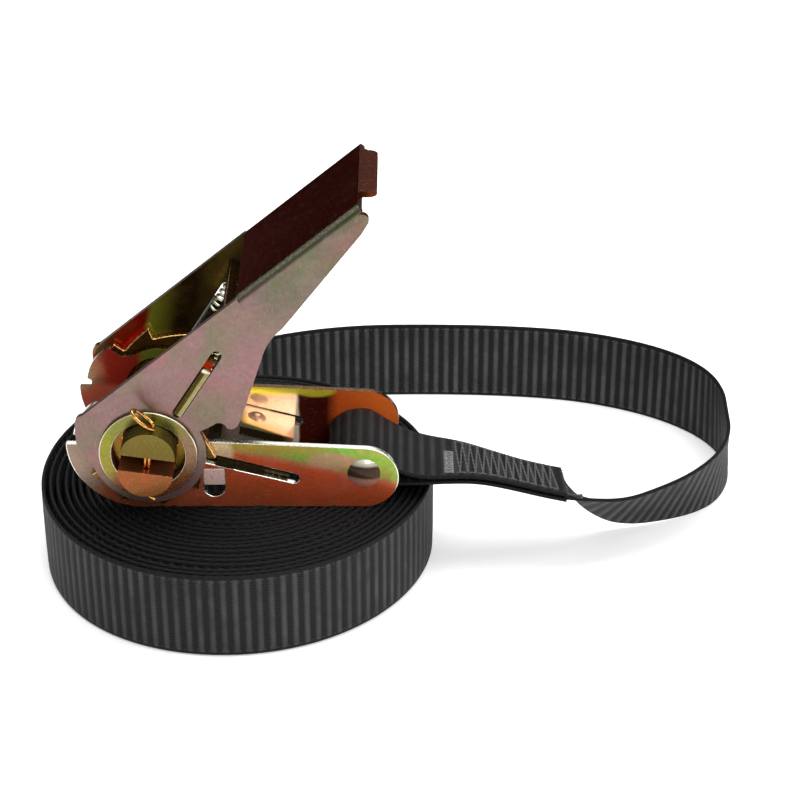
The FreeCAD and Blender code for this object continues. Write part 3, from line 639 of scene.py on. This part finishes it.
def leaning(tilt, heading):
    """Direction across the webbing. tilt 0 is flat and 90 is on edge."""
    h, t = math.radians(heading), math.radians(tilt)
    return np.array([math.sin(h) * math.cos(t), -math.cos(h) * math.cos(t), math.sin(t)])


def webbing_run(name, stations, ribs=1.0):
    """Ribbon whose middle and edge follow two splines. A station is (point, across)."""
    middle = smooth_route([MM * np.array(p) for p, _ in stations])
    edge = smooth_route([MM * np.array(p) + WEBBING_WIDTH / 2 * a for p, a in stations])
    return ribbon_mesh(name, middle, edge - middle, ribs=ribs)


# ---- camera ------------------------------------------------------------------------
SENSOR_WIDTH = 36.0                    # in millimetres, as the lens is
LENS = 99.05
CLIP = (0.02, 20.0)
CAMERA_ELEVATION = math.radians(30.3)
CAMERA_DISTANCE = 0.600
CAMERA_TARGET = Vector((0.0439, 0.0, 0.0458))


def make_camera():
    """Camera square on to the ratchet's near side, looking down at it."""
    data = bpy.data.cameras.new("camera")
    data.sensor_width = SENSOR_WIDTH
    data.lens = LENS
    data.clip_start, data.clip_end = CLIP
    camera = bpy.data.objects.new("camera", data)
    bpy.context.scene.collection.objects.link(camera)
    away = Vector((0, -math.cos(CAMERA_ELEVATION), math.sin(CAMERA_ELEVATION)))
    camera.location = CAMERA_TARGET + CAMERA_DISTANCE * away
    camera.rotation_euler = (math.pi / 2 - CAMERA_ELEVATION, 0, 0)
    bpy.context.scene.camera = camera


make_camera()


# ---- loose webbing -----------------------------------------------------------------
run_stations = [(point, leaning(tilt, heading)) for point, tilt, heading in TWIST_STATIONS]
run_stations += [((x, y, RETURN_HEIGHT), leaning(tilt, heading))
                 for (x, y), tilt, heading in zip(RETURN_ROUTE, RETURN_TILTS, RETURN_HEADINGS)]
mesh, run_line = webbing_run("strap_run", run_stations)
strap_run = piece("strap_run", mesh, [WEBBING], "frame")
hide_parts("strap_twist", "strap_return")
RUN_LENGTH = lengths(run_line)[-1]


# ---- coil --------------------------------------------------------------------------
POINTS_PER_TURN = 240
MERGE_ANGLE = 0.6                      # radians over which the strap settles into the coil
SETTLE_ANGLE = 0.8                     # radians over which lift and shift grow
SLACK_ANGLE = 1.5                      # radians over which the slack sets in
# Waves of the coil, in millimetres and radians: (size, waves in a turn, phase)
COIL_OVAL = (0.5, 2, 0.6)
COIL_LOBES = (0.3, 3, 2.0)
COIL_RIPPLE = (0.13, 5, 1.0)
RIPPLE_DRIFT = 0.37                    # the ripple comes and goes with the angle turned
LIFT_MEAN = 0.35
LIFT_WAVES = (0.22, 1.9, 0.7)
LIFT_DRIFT = (0.13, 0.31, 0.0)
SLACK_WAVES = (0.4, 0.9, 0.0)
SLACK_LEAN = 0.25                      # the slack turns lie to the left, a little round from it


def wave(shape, angle):
    """Sine wave of a (size, waves in a turn, phase)."""
    size, waves, phase = shape
    return size * np.sin(waves * angle + phase)


def beyond(radius, start, width):
    """0 inside a radius, and 1 from a width beyond it, in millimetres."""
    return np.clip((radius / MM - start) / width, 0, 1)


def coil_line():
    """Middle of the wound strap, from its outer end inwards."""
    start = math.atan2(RETURN_ROUTE[-1][1], RETURN_ROUTE[-1][0])
    merge = math.hypot(*RETURN_ROUTE[-1]) * MM - COIL_OUTER
    turns = (COIL_OUTER - COIL_INNER) / COIL_PITCH
    turned = np.linspace(0, turns * 2 * math.pi, int(turns * POINTS_PER_TURN))
    angle = start + turned
    radius = COIL_OUTER - COIL_PITCH * turned / (2 * math.pi)
    radius += merge * np.exp(-turned / MERGE_ANGLE)
    loose = beyond(radius, 14, 40)
    radius += MM * loose * (wave(COIL_OVAL, angle) + wave(COIL_LOBES, angle))
    radius += MM * loose * np.sin(RIPPLE_DRIFT * turned) * wave(COIL_RIPPLE, angle)
    settled = 1 - np.exp(-turned / SETTLE_ANGLE)
    lift = MM * (LIFT_MEAN + wave(LIFT_WAVES, turned) + wave(LIFT_DRIFT, turned)) * settled
    shift = beyond(radius, 20, 30) * settled
    left = np.clip(-np.cos(angle + SLACK_LEAN), 0, 1) ** 2
    slack = left * beyond(radius, 30, 20) * (1 - np.exp(-turned / SLACK_ANGLE))
    radius += MM * slack * wave(SLACK_WAVES, turned)
    return np.stack([radius * np.cos(angle) + MM * COIL_SHIFT[0] * shift,
                     radius * np.sin(angle) + MM * COIL_SHIFT[1] * shift,
                     MM * RETURN_HEIGHT + lift], axis=1)


line = coil_line()
mesh, coil_centre = ribbon_mesh("strap_wound", line, np.tile(UP, (len(line), 1)), RUN_LENGTH)
strap_wound = piece("strap_wound", mesh, [WEBBING_COIL], "frame")
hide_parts("strap_coil")


# ---- sewn end ----------------------------------------------------------------------
SEWN_RIBS = 0.8                        # the ribs lie flatter where the strap is sewn
STITCH_LIFT = 0.14 * MM
STITCH_FIRST = 10.2 * MM               # start of the rows, from the pin's side
STITCH_LAST = 2.4 * MM                 # their end, from the cut end
STITCH_MARGIN = 2.2 * MM               # from the selvedge
ZIGZAG_LEGS = 27
ZIGZAG_PITCH = 2.6 * MM
ROW_PITCH = 2.8 * MM
THREAD_RADIUS = 0.24 * MM
TACK_COUNT = 26
TACK_START, TACK_END = 7.0 * MM, 9.6 * MM
TACK_SPREAD = 1.3                      # width of the tack, in half-widths of the zigzag
TACK_SKEW = 0.5 * MM
TACK_RADIUS = 0.22 * MM
YARN_COUNT = 22
YARN_RADIUS = 0.13 * MM
YARN_ROOT = -0.6 * MM                  # below the strap's upper face
YARN_STRAY = 0.18
TAIL_POINTS = 8


def sewn_layer(side):
    """Stations of one of the two sewn layers. side +1 is the upper one."""
    made = []
    for point, tilt in SEWN_STATIONS:
        across = leaning(tilt, 0)
        up = np.array([0.0, math.sin(math.radians(tilt)), math.cos(math.radians(tilt))])
        made.append((np.array(point) + side * LAYER_OFFSET / MM * up, across))
    return made


fold_stations = list(reversed(sewn_layer(1)))
fold_stations += [((x, HUB[1] / MM, z), leaning(0, 0)) for x, z in PIN_LOOP]
fold_stations += sewn_layer(-1)
mesh, _ = webbing_run("strap_fold", fold_stations, SEWN_RIBS)
strap_fold = piece("strap_fold", mesh, [WEBBING_SEWN], "frame")
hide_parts("strap_pin_loop", "strap_sewn_end")

sewn_middle = smooth_route([MM * np.array(p) for p, _ in sewn_layer(1)])
sewn_edge = smooth_route([MM * np.array(p) + WEBBING_WIDTH / 2 * a for p, a in sewn_layer(1)])


def on_sewn(distance, across, height):
    """Point over the upper face of the sewn part, its distance measured from the pin's side."""
    at = lengths(sewn_middle)
    middle, edge = (np.array([np.interp(distance, at, l[:, k]) for k in range(3)])
                    for l in (sewn_middle, sewn_edge))
    ahead = np.array([np.interp(distance + MM, at, sewn_middle[:, k]) for k in range(3)])
    behind = np.array([np.interp(distance - MM, at, sewn_middle[:, k]) for k in range(3)])
    side = (edge - middle) / np.linalg.norm(edge - middle)
    up = np.cross(side, ahead - behind)
    up /= np.linalg.norm(up)
    return middle + side * across + up * (WEBBING_THICKNESS / 2 + height)


def stitch(start, end, radius):
    """One stitch that rises out of the webbing, lies on it, and dips back in."""
    points = []
    for share in np.linspace(0, 1, 7):
        d = start[0] + (end[0] - start[0]) * share
        a = start[1] + (end[1] - start[1]) * share
        rise = STITCH_LIFT * math.sin(math.pi * share) ** 0.5
        points.append(on_sewn(d, a, rise - 0.5 * radius))
    return sweep(points, radius, 6)


def stitched_line(start, end, pitch, radius):
    """Stitches in a row between two points on the sewn part."""
    total = math.dist(start, end)
    count = max(1, int(round(total / pitch)))
    made = []
    for k in range(count):
        a, b = (k + 0.07) / count, (k + 0.93) / count
        made.append(stitch([s + (e - s) * a for s, e in zip(start, end)],
                           [s + (e - s) * b for s, e in zip(start, end)], radius))
    return made


def make_stitching():
    """The zigzag between two straight rows, and the bartack that closes the pin's loop."""
    first, last = STITCH_FIRST, lengths(sewn_middle)[-1] - STITCH_LAST
    margin = WEBBING_WIDTH / 2 - STITCH_MARGIN
    corners = [(first + (last - first) * k / ZIGZAG_LEGS, margin * (1 if k % 2 else -1))
               for k in range(ZIGZAG_LEGS + 1)]
    parts = []
    for a, b in zip(corners, corners[1:]):
        parts += stitched_line(a, b, ZIGZAG_PITCH, THREAD_RADIUS)
    for side in (-1, 1):
        parts += stitched_line((first, side * margin), (last, side * margin), ROW_PITCH,
                               THREAD_RADIUS)
    mesh = mesh_from("stitching", *joined(parts))
    made = piece("strap_stitching", mesh, [THREAD], "frame")
    tacks = []
    for k in range(TACK_COUNT):
        across = margin - TACK_SPREAD * margin * k / (TACK_COUNT - 1)
        skew = TACK_SKEW * (1 if k % 2 else -1)
        tacks.append(stitch((TACK_START, across), (TACK_END, across + skew), TACK_RADIUS))
    mesh = mesh_from("bartack", *joined(tacks))
    tack = piece("strap_bartack", mesh, [TACK_THREAD], "frame")
    return made, tack


stitching, bartack = make_stitching()


def make_fray():
    """Cut yarns that stand out of the strap's short end, and one thick tail at its corner."""
    rng = np.random.default_rng(7)
    length = lengths(sewn_middle)[-1]
    parts = []
    for _ in range(YARN_COUNT):
        across = (rng.random() * 2 - 1) * (WEBBING_WIDTH / 2 - 1 * MM)
        reach = (0.5 + 0.8 * rng.random()) * MM
        root = on_sewn(length - 0.6 * MM, across, YARN_ROOT)
        ahead = on_sewn(length, across, YARN_ROOT) - on_sewn(length - 2 * MM, across, YARN_ROOT)
        ahead /= np.linalg.norm(ahead)
        stray = rng.normal(0, YARN_STRAY, 3)
        points = [root + ahead * reach * t + stray * reach * t * t * 0.6
                  for t in np.linspace(0, 1, 5)]
        parts.append(sweep(points, YARN_RADIUS, 5))
    root = on_sewn(length - 1 * MM, 10.5 * MM, -0.4 * MM)
    shares = np.linspace(0, 1, TAIL_POINTS)
    tail = [root + MM * np.array([t * 5.2, -t * 1.2, -t * 0.6 - 0.5 * math.sin(math.pi * t)])
            for t in shares]
    parts.append(sweep(tail, [MM * (0.4 + 0.25 * t * t) for t in shares], 8))
    mesh = mesh_from("fray", *joined(parts))
    made = piece("strap_cut_yarns", mesh, [CUT_YARN], "frame")
    return made


cut_yarns = make_fray()


# ---- frame -------------------------------------------------------------------------
FINE_ROUND = 0.25 * MM                 # widths of the rolled edges
PLATE_ROUND = 0.3 * MM
BROAD_ROUND = 0.35 * MM


def facing_in(centre, normal):
    """Is this a face of a side plate that looks towards the ratchet's mid plane?"""
    side = 1 if centre[1] > HUB[1] else -1
    return normal[1] * side < -0.9


def on_rim(centre, normal):
    """Is this one of the narrow faces round a side plate, an ear or a wheel?"""
    return abs(normal[1]) < 0.5


# The near plate's rims get a painted highlight and the far plate's rims painted shade.
for side_name, rim in (("near", SILVER_HIGHLIGHT_EDGE), ("far", PAINTED_SHADE_EDGE)):
    finished("frame_plate_" + side_name,
             [(PLATE_INNER, facing_in), (rim, on_rim), (PLATE_OUTER, everywhere)], rim,
             PLATE_ROUND)
finished("cross_bar", [(CROSS_BAR, everywhere)], CROSS_BAR, PLATE_ROUND)
finished("strap_pin", [(RIVET, everywhere)], PALE_EDGE, FINE_ROUND)
finished("lock_pawl", [(PAWL, everywhere)], PAWL, FINE_ROUND)


# ---- mandrel -----------------------------------------------------------------------
for half in ("upper", "lower"):
    finished("mandrel_half_" + half, [(MANDREL, everywhere)], PALE_EDGE, BROAD_ROUND)
# The ratchet wheels' rims carry a painted gold highlight.
for side_name in SIDES:
    finished("ratchet_wheel_" + side_name, [(GOLD_HIGHLIGHT_EDGE, on_rim), (WHEEL, everywhere)],
             GOLD_HIGHLIGHT_EDGE, PLATE_ROUND)
    finished("retaining_washer_" + side_name, [(WASHER, everywhere)], PALE_EDGE, FINE_ROUND)


# ---- split pins --------------------------------------------------------------------
MANDREL_TILT = -8.7                    # degrees of the mandrel's slot from level
MANDREL_END = 26.5                     # in millimetres, as the sizes below are
COTTER_INSET = 3.0
COTTER_TOP = 10.3
WIRE_RADIUS = 0.5
EYE_START, EYE_FINISH = 212, 508       # degrees round the eye, from one leg to the other
EYE_CENTRE = np.array([0.0, 1.8, 13.2])  # from the hub: along, outwards and up
EYE_LONG = np.array([-2.8, 0.8, 2.9])
EYE_SHORT = np.array([0.5, 2.0, -0.6])
COTTER_Y = (MANDREL_END - COTTER_INSET) * MM


def make_cotter(side_name, side):
    """Split pin of one folded wire: two legs side by side, an eye pressed over, bent ends."""
    def shank(u, v, out=0.0):
        return along(MANDREL_TILT, u, -v) + ACROSS * side * (COTTER_Y + out * MM)

    def eye(degrees):
        a = math.radians(degrees)
        x, out, z = EYE_CENTRE + EYE_LONG * math.cos(a) + EYE_SHORT * math.sin(a)
        return HUB + MM * np.array([x, 0, z]) + ACROSS * side * (COTTER_Y + out * MM)

    wire = 1.02 * WIRE_RADIUS
    right = [shank(3.2, -COTTER_TOP - 1.2, 0.6), shank(1.5, -COTTER_TOP - 0.6, 0.3),
             shank(wire + 0.1, -COTTER_TOP - 0.1), shank(wire, -COTTER_TOP + 1.2),
             shank(wire, 0.0), shank(wire, COTTER_TOP - 1.5), shank(wire, COTTER_TOP - 0.4)]
    left = [shank(-wire, COTTER_TOP - 0.4), shank(-wire, COTTER_TOP - 1.5), shank(-wire, 0.0),
            shank(-wire, -COTTER_TOP + 1.2), shank(-wire - 0.1, -COTTER_TOP - 0.2),
            shank(-1.3, -COTTER_TOP - 0.5, 0.3), shank(-2.6, -COTTER_TOP - 0.1, 0.6)]
    loop = [eye(a) for a in np.linspace(EYE_START, EYE_FINISH, 15)]
    line = smooth_route(right + loop + left)
    mesh = mesh_from("cotter_" + side_name, *sweep(line, WIRE_RADIUS * MM, 10))
    made = piece("split_pin_" + side_name, mesh, [COTTER], "mandrel")
    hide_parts("cotter_pin_" + side_name)


# ---- springs -----------------------------------------------------------------------
POINTS_PER_COIL = 20
CLOSED_END = 0.06                      # share of a spring's wire that lies flat at each end


def coil_spring(name, start, axis, length, radius, wire, turns, body, node):
    """Helical spring from a start point along an axis. wire is its wire's radius."""
    other = np.cross(axis, ACROSS)
    points = []
    count = int(turns * POINTS_PER_COIL)
    for k in range(count + 1):
        share = k / count
        rise = min(max((share - CLOSED_END) / (1 - 2 * CLOSED_END), 0.0), 1.0)
        a = 2 * math.pi * turns * share
        points.append(start + axis * (wire + (length - 2 * wire) * rise)
                      + (radius - wire) * (math.cos(a) * ACROSS + math.sin(a) * other))
    mesh = mesh_from(name, *sweep(points, wire, 8))
    made = piece(name, mesh, [SPRING], body)
    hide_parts(node)
    return made


# Radius, wire and turns of each kind of spring. OUT is its distance from the mid plane, in
# millimetres, and PLACE its start from the hub: along the pawl's slide, and to its right.
LOCK_SPRING_LENGTH = 14.4 * MM
LOCK_SPRING = (2.0 * MM, 0.3 * MM, 9)
LOCK_SPRING_PLACE = (22.0, 4.6)
LOCK_SPRING_OUT = 8.0
DRIVE_SPRING_LENGTH = 11.0 * MM
DRIVE_SPRING = (2.6 * MM, 0.4 * MM, 6.5)
DRIVE_SPRING_PLACE = (31.0, 0.5)
DRIVE_SPRING_OUT = 11.5
LOCK_ANGLE = math.degrees(math.atan2(LOCK[2], LOCK[0]))
DRIVE_ANGLE = math.degrees(math.atan2(DRIVE[2], DRIVE[0]))
for side_name, side in SIDES.items():
    make_cotter(side_name, side)
    start = along(LOCK_ANGLE, *LOCK_SPRING_PLACE) + ACROSS * side * LOCK_SPRING_OUT * MM
    spring = coil_spring("lock_spring_wire_" + side_name, start, LOCK, LOCK_SPRING_LENGTH,
                         *LOCK_SPRING, None, "lock_spring_" + side_name)
    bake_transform(spring)
    start = along(DRIVE_ANGLE, *DRIVE_SPRING_PLACE) + ACROSS * side * DRIVE_SPRING_OUT * MM
    spring = coil_spring("drive_spring_wire_" + side_name, start, DRIVE, DRIVE_SPRING_LENGTH,
                         *DRIVE_SPRING, "handle", "drive_spring_" + side_name)
    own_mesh(spring)


# ---- handle ------------------------------------------------------------------------
GRIP_HALF = 17.6 * MM
GRIP_SLOPE = math.radians(39.56)
GRIP_UP = np.array([-math.sin(GRIP_SLOPE), 0.0, math.cos(GRIP_SLOPE)])
LIP_START = HUB[0] + 55.6 * MM


def on_lip(centre, normal):
    """Is this a face of the tongue at the grip's tip?"""
    return centre[0] > LIP_START and centre[2] > HUB[2]


def on_web(centre, normal):
    """Is this a face of the grip between its two folds?"""
    return abs(centre[1] - HUB[1]) < GRIP_HALF


def on_bend(centre, normal):
    """The outer half of the near fold between the grip and the ear, which carries a painted
    highlight.
    """
    return centre[1] < HUB[1] and -0.95 < normal[1] < -0.05 and normal.dot(GRIP_UP) > 0.62


def on_ear_rim(centre, normal):
    """The narrow faces round the far ear, in the shade of the plate."""
    return centre[1] > HUB[1] and on_rim(centre, normal)


# Painted highlight on the near fold, and painted shade on the far ear's rims.
finished("handle_shell",
         [(GRIP_LIP, on_lip), (GRIP_WEB, on_web), (GRIP_BEND_HIGHLIGHT, on_bend), (EAR_INNER, facing_in),
          (PAINTED_SHADE_EDGE, on_ear_rim), (EAR_OUTER, everywhere)], PALE_EDGE, BROAD_ROUND)
# The spring seat's and the drive pawl's rims are painted shade.
finished("handle_spring_seat", [(SEAT, everywhere)], PAINTED_SHADE_EDGE, PLATE_ROUND)
finished("drive_pawl", [(DRIVE_PAWL, everywhere)], PAINTED_SHADE_EDGE, FINE_ROUND)


# ---- floor and light ---------------------------------------------------------------
FLOOR_HALF = 6.0
# Soft boxes: (name, place, target, size, power)
SOFTBOXES = [("top", (0.0, 0.15, 1.2), (0.03, 0, 0.03), (1.1, 0.9), 13),
             ("back", (0.0, 1.5, 1.15), (0.03, 0, 0.04), (1.6, 0.35), 3.5),
             ("front", (0.42, -1.0, 0.8), (0.0, 0, 0.05), (0.5, 0.5), 6),
             ("right", (0.95, -0.2, 0.7), (0.03, 0, 0.05), (0.3, 0.6), 4)]


def make_floor():
    """White floor that glows a little near the object and darkens far from it."""
    corners = [(x * FLOOR_HALF, y * FLOOR_HALF, 0)
               for x, y in ((-1, -1), (1, -1), (1, 1), (-1, 1))]
    mesh = mesh_from("floor", corners, [(0, 1, 2, 3)])
    floor = bpy.data.objects.new("floor", mesh)
    bpy.context.scene.collection.objects.link(floor)
    s = Shader("floor")
    away = s.add("VectorMath", {0: s.position()}, operation="LENGTH").outputs["Value"]
    pale = s.span(away, 0.7, 1.6, 0.92, 0.3)
    s.set(Base_Color=s.mix(pale, (0, 0, 0, 1), (1, 1, 1, 1)), Roughness=0.9)
    s.set(Emission_Color=(1.0, 1.0, 1.0, 1.0), Emission_Strength=s.span(away, 0.5, 1.2, 0.25, 0.0))
    mesh.materials.append(s.material)


def softbox(name, place, target, size, power):
    """Rectangular area light, aimed at a target."""
    data = bpy.data.lights.new(name, "AREA")
    data.shape = "RECTANGLE"
    data.size, data.size_y = size
    data.energy = power
    lamp = bpy.data.objects.new(name, data)
    bpy.context.scene.collection.objects.link(lamp)
    lamp.location = place
    aim = Vector(target) - Vector(place)
    lamp.rotation_euler = aim.to_track_quat("-Z", "Y").to_euler()


def make_sky():
    """Dark near the horizon and bright overhead, dimmer towards the left."""
    world = bpy.data.worlds.new("studio")
    world.use_nodes = True
    nodes, links = world.node_tree.nodes, world.node_tree.links
    direction = nodes.new("ShaderNodeTexCoord")
    parts = nodes.new("ShaderNodeSeparateXYZ")
    sky = nodes.new("ShaderNodeValToRGB")
    sideways = nodes.new("ShaderNodeMapRange")
    for name, value in (("From Min", -0.7), ("From Max", 0.5), ("To Min", 0.3), ("To Max", 1.0)):
        sideways.inputs[name].default_value = value
    links.new(direction.outputs["Generated"], parts.inputs[0])
    links.new(parts.outputs["X"], sideways.inputs["Value"])
    links.new(parts.outputs["Z"], sky.inputs["Fac"])
    links.new(sky.outputs[0], nodes["Background"].inputs["Color"])
    links.new(sideways.outputs[0], nodes["Background"].inputs["Strength"])
    elements = sky.color_ramp.elements
    elements.new(0.3)
    for element, (at, level) in zip(elements, [(0.24, 0.05), (0.46, 0.9), (1.0, 0.95)]):
        element.position = at
        element.color = (level, level, level, 1.0)
    bpy.context.scene.world = world


make_floor()
make_sky()
for box in SOFTBOXES:
    softbox(*box)
bpy.context.scene.view_settings.view_transform = "Standard"
